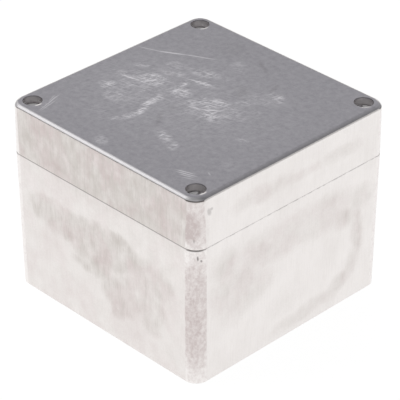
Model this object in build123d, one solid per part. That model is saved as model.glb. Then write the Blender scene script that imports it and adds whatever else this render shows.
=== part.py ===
from build123d import *
import math
import os

# Die cast aluminium box, millimetres. The origin is the middle of the underside, +Z is up
# and the front is towards -Y.

# Outside
box_width = 100.0
box_depth = 100.0
box_height = 80.0
base_height = 59.0
corner_radius = 5.9
rim_radius = 2.0
foot_bevel = 0.4

# The four sides are cast with draft, then ground flat, which leaves the cast skin on the corners
skin_proud = 0.02
base_cast_draft = 0.55
base_ground_draft = 0.6
lid_cast_draft = 0.45
lid_ground_draft = 0.65

# The base's edge at the split is eased, a little on the sides and more on the corners
split_bevel = 0.6
side_edge_ease = 0.15
corner_edge_round = 1.4

# Walls
floor_thickness = 3.5
top_thickness = 3.0
wall_draft = 1.0
floor_bevel = 1.5
recess_bevel = 1.2
block_edge_radius = 6.0
inner_corner_radius = 2.0

# Seal: the line that the gasket follows, inside the corner blocks
seal_inset = 2.8
corner_block_width = 13.6
corner_block_depth = 28.9
seal_corner_radius = 4.0
groove_width = 2.6
groove_depth = 2.8
groove_lip = 1.0
gasket_side_clearance = 0.1
sealing_lip_width = 1.2
sealing_lip_height = 1.2

# Lid screws, M4 with a thinned shank
screw_inset = 6.6
thread_major = 4.0
tap_drill = 3.3
thread_clearance = 0.05
counterbore_diameter = 7.5
head_depth_below_top = 3.1
head_clearance = 0.3
head_height = 2.6
slot_width = 1.2
slot_depth = 1.2
head_bevel = 0.3
screw_hole_diameter = 4.6
screw_web = 3.5
neck_diameter = 3.1
neck_end_above_split = 0.3
screw_reach = 9.7
screw_bore_spare = 2.3
slot_angles = {"front_left": 25.0, "front_right": 110.0, "rear_left": 65.0, "rear_right": 150.0}

# Screw retainers
retainer_thickness = 1.2
retainer_lift = 0.4
retainer_bore_clearance = 0.05
retainer_pocket_clearance = 0.3
pocket_diameter = 8.0

# Wall fixing holes, each at the bottom of a well that the lid covers
well_inset_x = 7.0
well_inset_y = 22.0
well_diameter = 8.6
well_floor = 4.0
fixing_hole_diameter = 4.8

# Threaded floor bosses
floor_boss_spacing_x = 54.0
floor_boss_spacing_y = 66.0
floor_boss_diameter = 8.0
floor_boss_height = 6.0
floor_boss_bore_depth = 7.5

# Earth terminal, beside the right wall
earth_inset = 12.5
earth_boss_size = 8.0
earth_boss_height = 7.0
earth_boss_corner = 1.0
earth_bore_depth = 7.0
clamp_size = 8.2
clamp_thickness = 1.0
clamp_hole_diameter = 4.4
clamp_lip_height = 1.6
clamp_lip_clearance = 0.3
spring_washer_inner = 4.2
spring_washer_outer = 7.2
spring_washer_thickness = 0.9
spring_washer_slit = 1.0
earth_head_diameter = 7.0
earth_head_height = 2.6
earth_screw_length = 8.0
earth_slot_angle = 40.0

lid_height = box_height - base_height
corners = {
    "front_left": (-1, -1),
    "front_right": (1, -1),
    "rear_left": (-1, 1),
    "rear_right": (1, 1),
}


def corner_places(inset_x, inset_y):
    """The same place beside each corner, measured in from the sides at the split."""
    half_x = box_width / 2 - inset_x
    half_y = box_depth / 2 - inset_y
    return {name: (half_x * side_x, half_y * side_y) for name, (side_x, side_y) in corners.items()}


def rod(x, y, z, diameter, height):
    """An upright cylinder that stands on z, or hangs from it where the height is negative."""
    return Pos(x, y, z + height / 2) * Cylinder(diameter / 2, abs(height))


def above_split(form):
    return Pos(0, 0, base_height) * form


def below_split(form):
    """Turns a form that was made upwards over, so that it grows down from the split."""
    return Pos(0, 0, base_height) * Rot(180, 0, 0) * form


def near_edges(form):
    return form.faces().sort_by(Axis.Z)[0].edges()


def far_edges(form):
    return form.faces().sort_by(Axis.Z)[-1].edges()


def upright_edges(form):
    """The edges that run from bottom to top, the nearest to the middle first."""
    edges = [edge for edge in form.edges() if edge.length > form.bounding_box().size.Z * 0.9]
    edges = [edge for edge in edges if abs((edge @ 1).Z - (edge @ 0).Z) > edge.length * 0.9]
    return sorted(edges, key=lambda edge: math.hypot(edge.center().X, edge.center().Y))


def cast_skin(height, draft):
    """The outside as cast: drafted sides and rounded corners, grown up from the split."""
    skin = 2 * skin_proud
    form = extrude(Rectangle(box_width + skin, box_depth + skin), amount=height, taper=draft)
    return fillet(upright_edges(form), corner_radius)


def ground_sides(height, draft):
    """The four planes that the sides are ground back to."""
    return extrude(Rectangle(box_width, box_depth), amount=height, taper=draft)


def eased_block(height):
    """A block whose bevel at the split cuts the corners deeper than the sides."""
    spread = 2 * (split_bevel - side_edge_ease)
    outline = RectangleRounded(box_width + spread, box_depth + spread, corner_radius + corner_edge_round)
    form = extrude(outline, amount=height)
    return chamfer(near_edges(form), split_bevel)


def seal_sizes(grow):
    """Long and short sides of the two crossed rectangles that make up the gasket's line."""
    long_x = box_width - 2 * seal_inset + 2 * grow
    long_y = box_depth - 2 * seal_inset + 2 * grow
    short_x = box_width - 2 * corner_block_width + 2 * grow
    short_y = box_depth - 2 * corner_block_depth + 2 * grow
    return long_x, long_y, short_x, short_y


def seal_outline(grow):
    """The gasket's line, grown sideways: a square that steps in round the corner blocks."""
    long_x, long_y, short_x, short_y = seal_sizes(0)
    line = Rectangle(short_x, long_y) + Rectangle(long_x, short_y)
    line = fillet(line.vertices(), seal_corner_radius)
    return offset(line, amount=grow)


def seal_ring(width, height):
    return extrude(seal_outline(width / 2) - seal_outline(-width / 2), amount=height)


def hollow(depth, bevel):
    """The drafted inside of either casting, which passes between the corner blocks."""
    long_x, long_y, short_x, short_y = seal_sizes(-groove_width / 2 - groove_lip)
    core = extrude(Rectangle(short_x, long_y), amount=depth, taper=wall_draft)
    core += extrude(Rectangle(long_x, short_y), amount=depth, taper=wall_draft)
    core = fillet(upright_edges(core)[4:], inner_corner_radius)
    core = fillet(upright_edges(core)[:4], block_edge_radius)
    return chamfer(far_edges(core), bevel)


def earth_place():
    return box_width / 2 - earth_inset, 0.0


def earth_boss_top():
    return floor_thickness + earth_boss_height


def base_casting():
    skin = cast_skin(base_height, base_cast_draft) & eased_block(base_height)
    body = skin & ground_sides(base_height, base_ground_draft)
    body = below_split(chamfer(far_edges(body), foot_bevel))
    body -= below_split(hollow(base_height - floor_thickness, floor_bevel))
    body += above_split(seal_ring(sealing_lip_width, sealing_lip_height))
    for side_x in (-1, 1):
        for side_y in (-1, 1):
            x = side_x * floor_boss_spacing_x / 2
            y = side_y * floor_boss_spacing_y / 2
            top = floor_thickness + floor_boss_height
            body += rod(x, y, top, floor_boss_diameter, -floor_boss_height - floor_thickness / 2)
            body -= rod(x, y, top, tap_drill, -floor_boss_bore_depth)
    x, y = earth_place()
    block = RectangleRounded(earth_boss_size, earth_boss_size, earth_boss_corner)
    block_depth = earth_boss_height + floor_thickness / 2
    body += Pos(x, y, earth_boss_top() - block_depth) * extrude(block, amount=block_depth)
    body -= rod(x, y, earth_boss_top(), thread_major, -earth_bore_depth)
    for x, y in corner_places(screw_inset, screw_inset).values():
        body -= rod(x, y, base_height, thread_major, -screw_reach - screw_bore_spare)
    for x, y in corner_places(well_inset_x, well_inset_y).values():
        body -= rod(x, y, base_height, well_diameter, well_floor - base_height)
        body -= rod(x, y, well_floor, fixing_hole_diameter, -well_floor)
    return body


def lid_casting():
    skin = cast_skin(lid_height, lid_cast_draft)
    skin = fillet(far_edges(skin), rim_radius)
    body = above_split(skin & ground_sides(lid_height, lid_ground_draft))
    body -= above_split(hollow(lid_height - top_thickness, recess_bevel))
    body -= above_split(seal_ring(groove_width, groove_depth))
    seat = head_seat()
    for x, y in corner_places(screw_inset, screw_inset).values():
        body -= rod(x, y, box_height, counterbore_diameter, seat - box_height)
        body -= rod(x, y, seat, screw_hole_diameter, -screw_web)
        body -= rod(x, y, base_height, pocket_diameter, seat - screw_web - base_height)
    return body


def head_seat():
    return box_height - head_depth_below_top - head_height


def lid_gasket():
    width = groove_width - 2 * gasket_side_clearance
    ring = seal_ring(width, groove_depth - sealing_lip_height)
    return Pos(0, 0, base_height + sealing_lip_height) * ring


def slotted_head(x, y, z, diameter, height, angle):
    head = rod(x, y, z, diameter, height)
    head = chamfer(far_edges(head), head_bevel)
    slot = Rot(0, 0, angle) * Box(diameter * 2, slot_width, slot_depth)
    return head - Pos(x, y, z + height - slot_depth / 2) * slot


def threaded_rod(x, y, top, length):
    """A thread drawn plain, as a rod that runs free in its bore."""
    return rod(x, y, top, thread_major - 2 * thread_clearance, -length)


def lid_screw(name):
    x, y = corner_places(screw_inset, screw_inset)[name]
    diameter = counterbore_diameter - 2 * head_clearance
    seat = head_seat()
    neck_end = base_height + neck_end_above_split
    head = slotted_head(x, y, seat, diameter, head_height, slot_angles[name])
    neck = rod(x, y, neck_end, neck_diameter, seat - neck_end)
    return head + neck + threaded_rod(x, y, neck_end, neck_end_above_split + screw_reach)


def screw_retainer(name):
    x, y = corner_places(screw_inset, screw_inset)[name]
    bottom = base_height + retainer_lift
    outer = pocket_diameter - 2 * retainer_pocket_clearance
    inner = neck_diameter + 2 * retainer_bore_clearance
    return rod(x, y, bottom, outer, retainer_thickness) - rod(x, y, bottom, inner, retainer_thickness)


def earth_clamp():
    """A plate whose two lips hang beside the boss and stop it turning."""
    x, y = earth_place()
    bottom = earth_boss_top()
    lip_gap = earth_boss_size + 2 * clamp_lip_clearance
    depth = lip_gap + 2 * clamp_thickness
    plate = Pos(x, y, bottom + clamp_thickness / 2) * Box(clamp_size, depth, clamp_thickness)
    lip_centre = lip_gap / 2 + clamp_thickness / 2
    for side in (-1, 1):
        lip_place = Pos(x, y + side * lip_centre, bottom - clamp_lip_height / 2)
        plate += lip_place * Box(clamp_size, clamp_thickness, clamp_lip_height)
    return plate - rod(x, y, bottom, clamp_hole_diameter, clamp_thickness)


def earth_spring_washer():
    x, y = earth_place()
    bottom = earth_boss_top() + clamp_thickness
    ring = rod(x, y, bottom, spring_washer_outer, spring_washer_thickness)
    ring -= rod(x, y, bottom, spring_washer_inner, spring_washer_thickness)
    slit = Box(spring_washer_outer, spring_washer_slit, spring_washer_thickness)
    return ring - Pos(x + spring_washer_outer / 2, y, bottom + spring_washer_thickness / 2) * slit


def earth_screw():
    x, y = earth_place()
    seat = earth_boss_top() + clamp_thickness + spring_washer_thickness
    head = slotted_head(x, y, seat, earth_head_diameter, earth_head_height, earth_slot_angle)
    return head + threaded_rod(x, y, seat, earth_screw_length)


def write(name, solid):
    export_step(solid, "parts/" + name + ".step")
    print(name, "volume", round(solid.volume, 1))


def main():
    os.makedirs("parts", exist_ok=True)
    write("base_casting", base_casting())
    write("lid_casting", lid_casting())
    write("lid_gasket", lid_gasket())
    for name in corners:
        write("lid_screw_" + name, lid_screw(name))
        write("screw_retainer_" + name, screw_retainer(name))
    write("earth_clamp", earth_clamp())
    write("earth_spring_washer", earth_spring_washer())
    write("earth_screw", earth_screw())


main()
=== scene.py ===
import math
import bpy
from mathutils import Matrix, Vector


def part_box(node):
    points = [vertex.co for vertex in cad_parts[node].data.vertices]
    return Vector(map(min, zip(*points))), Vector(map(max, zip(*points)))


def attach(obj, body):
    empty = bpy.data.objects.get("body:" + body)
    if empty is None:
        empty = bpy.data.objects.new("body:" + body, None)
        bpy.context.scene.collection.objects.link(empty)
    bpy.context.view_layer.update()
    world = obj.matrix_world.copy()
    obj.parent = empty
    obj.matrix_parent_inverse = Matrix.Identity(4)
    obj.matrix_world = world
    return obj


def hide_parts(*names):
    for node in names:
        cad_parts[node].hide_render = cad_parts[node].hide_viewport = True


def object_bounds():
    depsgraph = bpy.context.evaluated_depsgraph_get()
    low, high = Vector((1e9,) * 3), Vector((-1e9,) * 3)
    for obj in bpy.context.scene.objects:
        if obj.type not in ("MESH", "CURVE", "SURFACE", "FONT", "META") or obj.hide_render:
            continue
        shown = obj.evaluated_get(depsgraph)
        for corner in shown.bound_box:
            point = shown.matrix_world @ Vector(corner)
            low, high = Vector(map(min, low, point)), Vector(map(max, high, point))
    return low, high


bl_info = {
    "name": "Die Cast Box",
    "version": (1, 0, 0),
    "blender": (4, 5, 0),
    "location": "3D View > Sidebar > Box",
    "description": "Finishes a die cast aluminium box, makes its screws and sets its stage",
    "category": "Object",
}

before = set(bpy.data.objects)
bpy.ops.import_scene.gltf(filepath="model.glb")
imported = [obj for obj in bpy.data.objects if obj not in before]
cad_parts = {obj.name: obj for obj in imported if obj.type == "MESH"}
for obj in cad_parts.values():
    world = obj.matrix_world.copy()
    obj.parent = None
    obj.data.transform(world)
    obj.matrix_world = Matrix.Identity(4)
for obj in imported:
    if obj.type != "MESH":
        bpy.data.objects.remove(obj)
cad_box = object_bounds()

MM = 0.001

# The box's front, right side and top in millimetres, for patterns and marks on Object coordinates.
FRONT = cad_box[0].y / MM
SIDE = cad_box[1].x / MM
TOP = cad_box[1].z / MM
MARK_DEPTH = 6.0
TOP_MARK_DEPTH = 1.5

# How far the edges of the ground planes and of the corners' strips of skin waver, in millimetres.
PLANE_WAVER = 0.08
STRIP_WAVER = 0.9

# How strongly the scratches and the smudges show.
SCRATCH_SHARE = 0.7
SMUDGE_SHARE = 0.22

# Each screw's slot is turned its own way from +X, in degrees, as hands leave them.
SLOT_ANGLES = {"front_left": 25, "front_right": 110, "rear_left": 65, "rear_right": 150}
EARTH_SLOT_ANGLE = 40

ROUND_SIDES = 64
THREAD_STEPS = 32
TIP_ROOM = 0.1 * MM

# A cut may move none of the thread's own points, and a finished screw has no shorter edge.
CUT_TOLERANCE = 0.0001 * MM
SHORTEST_EDGE = 0.002 * MM

# Where the room is lighter, the longer the brighter, and where the soft light stands.
LEFT_GLOW = (-0.483, 0.25, 0.0)
CAMERA_GLOW = (0.64, -0.64, 0.0)
CAMERA_GLOW_START = 0.55
ROOM_LEVEL = 0.56
WINDOW_TOWARDS = (-0.605, -0.533, 0.59)
FLOOR_GAP = 0.02 * MM


def linear(colour):
    """An sRGB hex colour as linear red, green and blue."""
    parts = [int(colour[i:i + 2], 16) / 255 for i in (0, 2, 4)]
    return tuple(p / 12.92 if p <= 0.04045 else ((p + 0.055) / 1.055) ** 2.4 for p in parts)


class BoxFinishSettings(bpy.types.PropertyGroup):
    """Colours of the castings and sizes of their surface patterns."""

    ground_colour: bpy.props.FloatVectorProperty(
        name="Ground sides", description="Aluminium freshly ground on a belt",
        subtype="COLOR", size=3, min=0, max=1, default=linear("F2EEEC"))
    bloom_colour: bpy.props.FloatVectorProperty(
        name="Bloom", description="Pinkish grey where the ground sides have begun to oxidise",
        subtype="COLOR", size=3, min=0, max=1, default=linear("C8BAB8"))
    haze_colour: bpy.props.FloatVectorProperty(
        name="Haze", description="Greenish grey haze between the blooms",
        subtype="COLOR", size=3, min=0, max=1, default=linear("CAC4BF"))
    skin_colour: bpy.props.FloatVectorProperty(
        name="Cast skin", description="Lid top as it came out of the mould",
        subtype="COLOR", size=3, min=0, max=1, default=linear("918F95"))
    rim_colour: bpy.props.FloatVectorProperty(
        name="Worn rim", description="Cast skin polished by handling, on the lid's rounded rim",
        subtype="COLOR", size=3, min=0, max=1, default=linear("C6C4C6"))
    corner_colour: bpy.props.FloatVectorProperty(
        name="Corner skin", description="Cast skin left on the upright corners, half rubbed off",
        subtype="COLOR", size=3, min=0, max=1, default=linear("CABFBD"))
    scuff_colour: bpy.props.FloatVectorProperty(
        name="Scuffs", description="Bright metal where the skin is rubbed through",
        subtype="COLOR", size=3, min=0, max=1, default=linear("D8D6DA"))
    # Grime colour: real dirt, and also the painted shade in the joint and in the crease under the
    # lid's rim.
    grime_and_shade_colour: bpy.props.FloatVectorProperty(
        name="Grime", description="Dirt held in pits, in the joint and in the screw holes",
        subtype="COLOR", size=3, min=0, max=1, default=linear("5E5855"))
    inside_colour: bpy.props.FloatVectorProperty(
        name="Inside", description="Cast skin inside the box, away from handling",
        subtype="COLOR", size=3, min=0, max=1, default=linear("B5B4B4"))
    grind_pitch: bpy.props.FloatProperty(
        name="Grind line spacing", description="Distance between the upright grinding lines",
        unit="LENGTH", subtype="DISTANCE", min=0.0001, default=0.75 * MM)
    grind_length: bpy.props.FloatProperty(
        name="Grind line length", description="How far one grinding line runs",
        unit="LENGTH", subtype="DISTANCE", min=0.001, default=7 * MM)
    skin_grain: bpy.props.FloatProperty(
        name="Skin grain", description="Size of the bumps that the mould leaves in the cast skin",
        unit="LENGTH", subtype="DISTANCE", min=0.0001, default=0.8 * MM)
    base_draft: bpy.props.FloatProperty(
        name="Base draft", description="Lean of the base's ground sides",
        subtype="ANGLE", default=math.radians(0.6))
    lid_draft: bpy.props.FloatProperty(
        name="Lid draft", description="Lean of the lid's ground sides",
        subtype="ANGLE", default=math.radians(0.65))
    strip_width: bpy.props.FloatProperty(
        name="Corner strip",
        description="How far the corner's cast skin reaches onto each side at the joint",
        unit="LENGTH", subtype="DISTANCE", min=0, default=5.5 * MM)
    base_strip_lean: bpy.props.FloatProperty(
        name="Base strip lean", description="How the corner's strip of skin widens down the base",
        subtype="ANGLE", default=math.radians(0.6))
    lid_strip_lean: bpy.props.FloatProperty(
        name="Lid strip lean", description="How the corner's strip of skin narrows up the lid",
        subtype="ANGLE", default=math.radians(2.8))
    right_cut: bpy.props.FloatProperty(
        name="Right cut",
        description="How much deeper into the rounded rim the right side was ground",
        unit="LENGTH", subtype="DISTANCE", min=0, default=0.18 * MM)
    bore_colour: bpy.props.FloatVectorProperty(
        name="Hole walls", description="Dull drilled walls of the screw holes",
        subtype="COLOR", size=3, min=0, max=1, default=linear("DAD6D7"))
    hole_radius: bpy.props.FloatProperty(
        name="Hole radius", description="Radius of a screw hole in the lid",
        unit="LENGTH", subtype="DISTANCE", min=0, default=3.75 * MM)


class BoxScrewSettings(bpy.types.PropertyGroup):
    """Sizes of the screws' heads, necks and threads."""

    pitch: bpy.props.FloatProperty(
        name="Pitch", description="Rise of the thread in one turn",
        unit="LENGTH", subtype="DISTANCE", min=0.0001, default=0.7 * MM)
    thread_radius: bpy.props.FloatProperty(
        name="Thread radius", description="From the axis to the crest of the thread",
        unit="LENGTH", subtype="DISTANCE", min=0.0001, default=1.95 * MM)
    thread_depth: bpy.props.FloatProperty(
        name="Thread depth", description="From the crest to the root of the thread",
        unit="LENGTH", subtype="DISTANCE", min=0.0001, default=0.4 * MM)
    head_height: bpy.props.FloatProperty(
        name="Head height", description="Height of a cheese head",
        unit="LENGTH", subtype="DISTANCE", min=0.0001, default=2.6 * MM)
    rim_bevel: bpy.props.FloatProperty(
        name="Rim bevel", description="Rounding of the head's upper rim",
        unit="LENGTH", subtype="DISTANCE", min=0, default=0.3 * MM)
    slot_width: bpy.props.FloatProperty(
        name="Slot width", description="Width of the screwdriver slot",
        unit="LENGTH", subtype="DISTANCE", min=0.0001, default=1.2 * MM)
    slot_depth: bpy.props.FloatProperty(
        name="Slot depth", description="Depth of the screwdriver slot",
        unit="LENGTH", subtype="DISTANCE", min=0.0001, default=1.2 * MM)
    slot_wear: bpy.props.FloatProperty(
        name="Slot wear", description="Rounding that screwdrivers leave on the slot's edges",
        unit="LENGTH", subtype="DISTANCE", min=0, default=0.06 * MM)
    neck_radius: bpy.props.FloatProperty(
        name="Neck radius",
        description="Radius of the thinned shank that keeps the screw in the lid",
        unit="LENGTH", subtype="DISTANCE", min=0.0001, default=1.5 * MM)
    lid_thread_length: bpy.props.FloatProperty(
        name="Lid screw thread", description="Length of the thread on a lid screw",
        unit="LENGTH", subtype="DISTANCE", min=0.001, default=10.0 * MM)
    earth_thread_length: bpy.props.FloatProperty(
        name="Earth screw thread", description="Length of the thread on the earth screw",
        unit="LENGTH", subtype="DISTANCE", min=0.001, default=7.3 * MM)
    steel_colour: bpy.props.FloatVectorProperty(
        name="Steel", description="Turned stainless steel",
        subtype="COLOR", size=3, min=0, max=1, default=linear("E0DEDB"))
    stain_colour: bpy.props.FloatVectorProperty(
        name="Stain", description="Dull film on the steel",
        subtype="COLOR", size=3, min=0, max=1, default=linear("B2AEAB"))


class BoxStageSettings(bpy.types.PropertyGroup):
    """The camera, the floor and the lights."""

    azimuth: bpy.props.FloatProperty(
        name="Azimuth", description="Camera's turn round the box, from the front towards the right",
        subtype="ANGLE", default=math.radians(45.69))
    elevation: bpy.props.FloatProperty(
        name="Elevation", description="Camera's height above the horizon",
        subtype="ANGLE", default=math.radians(32.24))
    roll: bpy.props.FloatProperty(
        name="Roll", description="Camera's turn about its own line of sight",
        subtype="ANGLE", default=math.radians(-0.037))
    distance: bpy.props.FloatProperty(
        name="Distance", description="From the camera to the middle of the box",
        unit="LENGTH", subtype="DISTANCE", default=826.3 * MM)
    aim_across: bpy.props.FloatProperty(
        name="Aim across", description="How far right of the box's middle the camera aims",
        unit="LENGTH", subtype="DISTANCE", default=0.691 * MM)
    aim_up: bpy.props.FloatProperty(
        name="Aim up", description="How far above the box's middle the camera aims",
        unit="LENGTH", subtype="DISTANCE", default=-2.761 * MM)
    lens: bpy.props.FloatProperty(
        name="Lens", description="Focal length on a 36 mm wide picture",
        unit="CAMERA", default=195.53)
    floor_radius: bpy.props.FloatProperty(
        name="Floor radius", description="Half the width of the round floor",
        unit="LENGTH", subtype="DISTANCE", default=8.0)
    floor_colour: bpy.props.FloatVectorProperty(
        name="Floor", description="Pale seamless paper",
        subtype="COLOR", size=3, min=0, max=1, default=linear("F4F4F4"))
    shadow_share: bpy.props.FloatProperty(
        name="Shadow",
        description="How much of the floor's own light and shadow shows through its white",
        min=0, max=1, default=0.15)
    window_distance: bpy.props.FloatProperty(
        name="Window distance", description="From the box to the soft light on its left",
        unit="LENGTH", subtype="DISTANCE", default=1.2)
    window_size: bpy.props.FloatProperty(
        name="Window size", description="Width and height of the soft light",
        unit="LENGTH", subtype="DISTANCE", default=0.8)
    window_level: bpy.props.FloatProperty(
        name="Window level", description="How bright the soft light looks, where white is 1",
        min=0, default=1.35)
    floor_level: bpy.props.FloatProperty(
        name="Floor level",
        description="How bright the floor looks to the camera before its shadow",
        min=0, default=1.1)
    bounce_level: bpy.props.FloatProperty(
        name="Bounce level",
        description="How bright the sides mirror the floor, so that they keep their colour",
        min=0, default=1.135)


def add_node(tree, kind, links=None, **settings):
    """Adds a node, sets its properties, and gives its sockets values or links by name or number.

    A node given as a value stands for its own output."""
    node = tree.nodes.new(kind)
    for name, value in settings.items():
        setattr(node, name, value)
    shown = [socket for socket in node.inputs if socket.enabled]
    for key, value in (links or {}).items():
        socket = shown[key] if isinstance(key, int) else next(s for s in shown if s.name == key)
        if isinstance(value, bpy.types.Node):
            value = next(output for output in value.outputs if output.enabled)
        if isinstance(value, bpy.types.NodeSocket):
            tree.links.new(value, socket)
        elif socket.type == "RGBA" and len(value) == 3:
            socket.default_value = (*value, 1)
        else:
            socket.default_value = value
    return node


def new_material(name):
    """An empty node material with its tree."""
    material = bpy.data.materials.new(name)
    material.use_nodes = True
    material.node_tree.nodes.clear()
    return material, material.node_tree


def place_in_mm(tree):
    """Each point's own place on the box, in millimetres."""
    place = add_node(tree, "ShaderNodeTexCoord").outputs["Object"]
    return add_node(tree, "ShaderNodeVectorMath", {"Vector": place, "Scale": 1 / MM},
                    operation="SCALE")


def grain(tree, place, size, detail=2.0, rough=0.5, turn=0.0):
    """Bumps and hollows from 0 to 1, of a size in millimetres across, along and upwards."""
    spread = add_node(tree, "ShaderNodeMapping", {
        "Vector": place, "Rotation": (0, 0, math.radians(turn)), "Scale": size},
        vector_type="TEXTURE")
    return add_node(tree, "ShaderNodeTexNoise", {
        "Vector": spread, "Scale": 1.0, "Detail": detail, "Roughness": rough})


def marks(tree, place, spots):
    """Soft oval marks, the strongest at each point.

    Each mark has a centre, radii, a turn, a strength and a softness."""
    strongest = add_node(tree, "ShaderNodeValue")
    for centre, radii, turn, strength, soft in spots:
        local = add_node(tree, "ShaderNodeMapping", {
            "Vector": place, "Location": centre, "Rotation": tuple(math.radians(t) for t in turn),
            "Scale": tuple(r * (1 + soft) for r in radii)}, vector_type="TEXTURE")
        inward = add_node(tree, "ShaderNodeTexGradient", {"Vector": local},
                          gradient_type="SPHERICAL")
        mark = add_node(tree, "ShaderNodeMapRange", {
            "Value": inward.outputs["Fac"], "From Max": 2 * soft / (1 + soft), "To Max": strength,
        }, interpolation_type="SMOOTHSTEP")
        strongest = add_node(tree, "ShaderNodeMath", {0: strongest, 1: mark}, operation="MAXIMUM")
    return strongest


def shaken(tree, place, size, amount):
    """The place moved a little by noise, so that marks get ragged edges."""
    noise = add_node(tree, "ShaderNodeTexNoise", {
        "Vector": place, "Scale": 1 / size, "Detail": 3.0})
    centred = add_node(tree, "ShaderNodeVectorMath", {
        0: noise.outputs["Color"], 1: (0.5, 0.5, 0.5)}, operation="SUBTRACT")
    return add_node(tree, "ShaderNodeVectorMath", {
        0: centred, 1: (amount, amount, amount), 2: place}, operation="MULTIPLY_ADD")


def clouded(tree, place, spots):
    """Marks broken up by noise into clouds with uneven edges and mottled middles, 0 to 1."""
    field = marks(tree, shaken(tree, place, 9.0, 5.0), spots)
    uneven = add_node(tree, "ShaderNodeMapRange", {
        "Value": grain(tree, place, (5.0, 5.0, 6.0), detail=4.0),
        "From Min": 0.25, "From Max": 0.75, "To Min": 0.6, "To Max": 1.4})
    return add_node(tree, "ShaderNodeMath", {0: field, 1: uneven}, operation="MULTIPLY",
                    use_clamp=True)


def on_front(x, z, half_x, half_z, turn, strength, soft=0.5):
    """An oval mark on the front side, turned in the plane of that side."""
    return (x, FRONT, z), (half_x, MARK_DEPTH, half_z), (0, turn, 0), strength, soft


def on_right(y, z, half_y, half_z, turn, strength, soft=0.5):
    """An oval mark on the right side, turned in the plane of that side."""
    return (SIDE, y, z), (MARK_DEPTH, half_y, half_z), (turn, 0, 0), strength, soft


def on_top(x, y, half_long, half_wide, turn, strength, soft=0.7):
    """An oval mark on the lid's top, its long way turned from +X."""
    return (x, y, TOP), (half_long, half_wide, TOP_MARK_DEPTH), (0, 0, turn), strength, soft


def cad_corner(inward_x, inward_y, z):
    """A place near the upright corner between the front and the right side."""
    return SIDE - inward_x, FRONT + inward_y, z


def stroke(start, end, width, strength):
    """A straight scratch on the lid's top, as a very thin oval that fades at its ends."""
    across, along = end[0] - start[0], end[1] - start[1]
    middle = ((start[0] + end[0]) / 2, (start[1] + end[1]) / 2)
    turn = math.degrees(math.atan2(along, across))
    return on_top(*middle, math.hypot(across, along) / 2, width / 2, turn, strength, 0.4)


# What follows was placed one by one: the dull clouds on the ground sides, stains and pits on the
# corner at the front right, and the wear of the lid's top. Lengths are in millimetres and turns
# in degrees.
BASE_BLOOMS_AND_FRONT_SHADE = (
    # The first two marks darken the whole front side of the base against the right side: a painted
    # shade, not oxide.
    on_front(0, 30, 80, 60, 0, 0.25),
    on_front(0, 62, 60, 10, 0, 0.34),
    on_front(-22, 40, 21, 8.5, 0, 0.5, 0.45),
    on_front(0, 39, 26, 10, 0, 0.55, 0.4),
    on_front(20, 35, 19, 11, 0, 0.44, 0.4),
    on_front(-6, 32, 15, 8, 30, 0.55, 0.4),
    on_front(9, 21, 13, 10, 25, 0.46, 0.5),
    on_front(25, 24, 12, 15, 0, 0.42, 0.5),
    on_front(-36, 38, 3.5, 4.5, 0, 0.62, 0.8),
    on_front(-19, 36, 7, 4, 15, 0.66, 0.8),
    on_front(-7, 40, 10, 5, 0, 0.62, 0.8),
    on_front(9, 46, 6, 3, 0, 0.7, 0.8),
    on_front(-2, 31, 8, 4, -20, 0.74, 0.8),
    on_front(-10, 26, 6, 3, 0, 0.6, 0.8),
    on_front(9, 15, 5, 6, 20, 0.64, 0.8),
    on_front(36, 38, 3, 4, 0, 0.55, 0.8),
    on_right(-2, 45, 41, 8, 0, 0.24, 0.4),
    on_right(-29, 36, 13, 14, 0, 0.28, 0.4),
    on_right(-20, 30, 9, 7, 20, 0.25, 0.5),
    on_right(-35, 46, 7, 6, 0, 0.36, 0.8),
    on_right(-17, 45, 8, 5, 0, 0.36, 0.8),
    on_right(-35, 36, 4, 7, 0, 0.34, 0.8),
    on_right(-24, 28, 6, 5, 0, 0.34, 0.8),
    on_right(17, 50, 9, 3, -10, 0.34, 0.8),
    on_right(28, 40, 6, 5, -20, 0.4, 0.7),
    on_right(36, 44, 6, 6, 0, 0.3, 0.5),
    on_right(35, 30, 3.2, 12, 6, 0.36, 0.5),
    on_right(33, 18, 3, 8, -15, 0.3, 0.6),
    on_right(26, 10, 8, 3.4, 28, 0.34, 0.6),
    on_right(8, 6.5, 18, 3, 5, 0.28, 0.6),
    on_right(-4, 15, 8, 5, 0, 0.12, 0.8),
)
LID_BLOOMS = (
    on_front(0, 70, 70, 20, 0, 0.66),
    on_front(-41, 69, 4, 9, 0, 0.74, 0.8),
    on_front(-4, 66, 6, 5, 0, 0.72, 0.8),
    on_front(20, 68, 9, 7, 0, 0.74, 0.8),
    on_right(-16, 69.5, 13, 3, 0, 0.3, 0.7),
    on_right(2, 68.5, 16, 2, 0, 0.22, 0.7),
    on_right(25, 69.3, 10, 2.6, 0, 0.28, 0.7),
)
BASE_CORNER_STAINS = (
    (cad_corner(1, 1, 30), (7, 7, 26), (0, 0, 0), 0.6, 0.3),
    (cad_corner(3, 0.6, 26), (5, 5, 18), (0, 0, 0), 0.75, 0.5),
)
LID_CORNER_STAINS = (
    (cad_corner(1, 1, 70), (7, 7, 12), (0, 0, 0), 0.45, 0.4),
    (cad_corner(3.4, 0.6, 68), (4.2, 4.2, 7), (0, 0, 0), 0.95, 0.5),
)
BASE_PITS = (
    (cad_corner(1.3, 2.3, 55.4), (0.35, 0.35, 0.9), (0, 0, 0), 0.7, 0.5),
    (cad_corner(0.8, 3.5, 54.2), (0.35, 0.4, 0.55), (0, 0, 0), 0.7, 0.5),
)
LID_PITS = (
    on_right(-43.2, 73.4, 0.8, 1.5, 20, 0.3),
    on_right(-42.2, 74.1, 0.8, 0.6, 0, 0.3),
    (cad_corner(3.6, 1.2, 65.4), (0.4, 0.4, 0.5), (0, 0, 0), 0.35, 0.5),
    (cad_corner(2.2, 1.4, 62.6), (0.4, 0.4, 0.7), (0, 0, 0), 0.3, 0.5),
)
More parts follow.
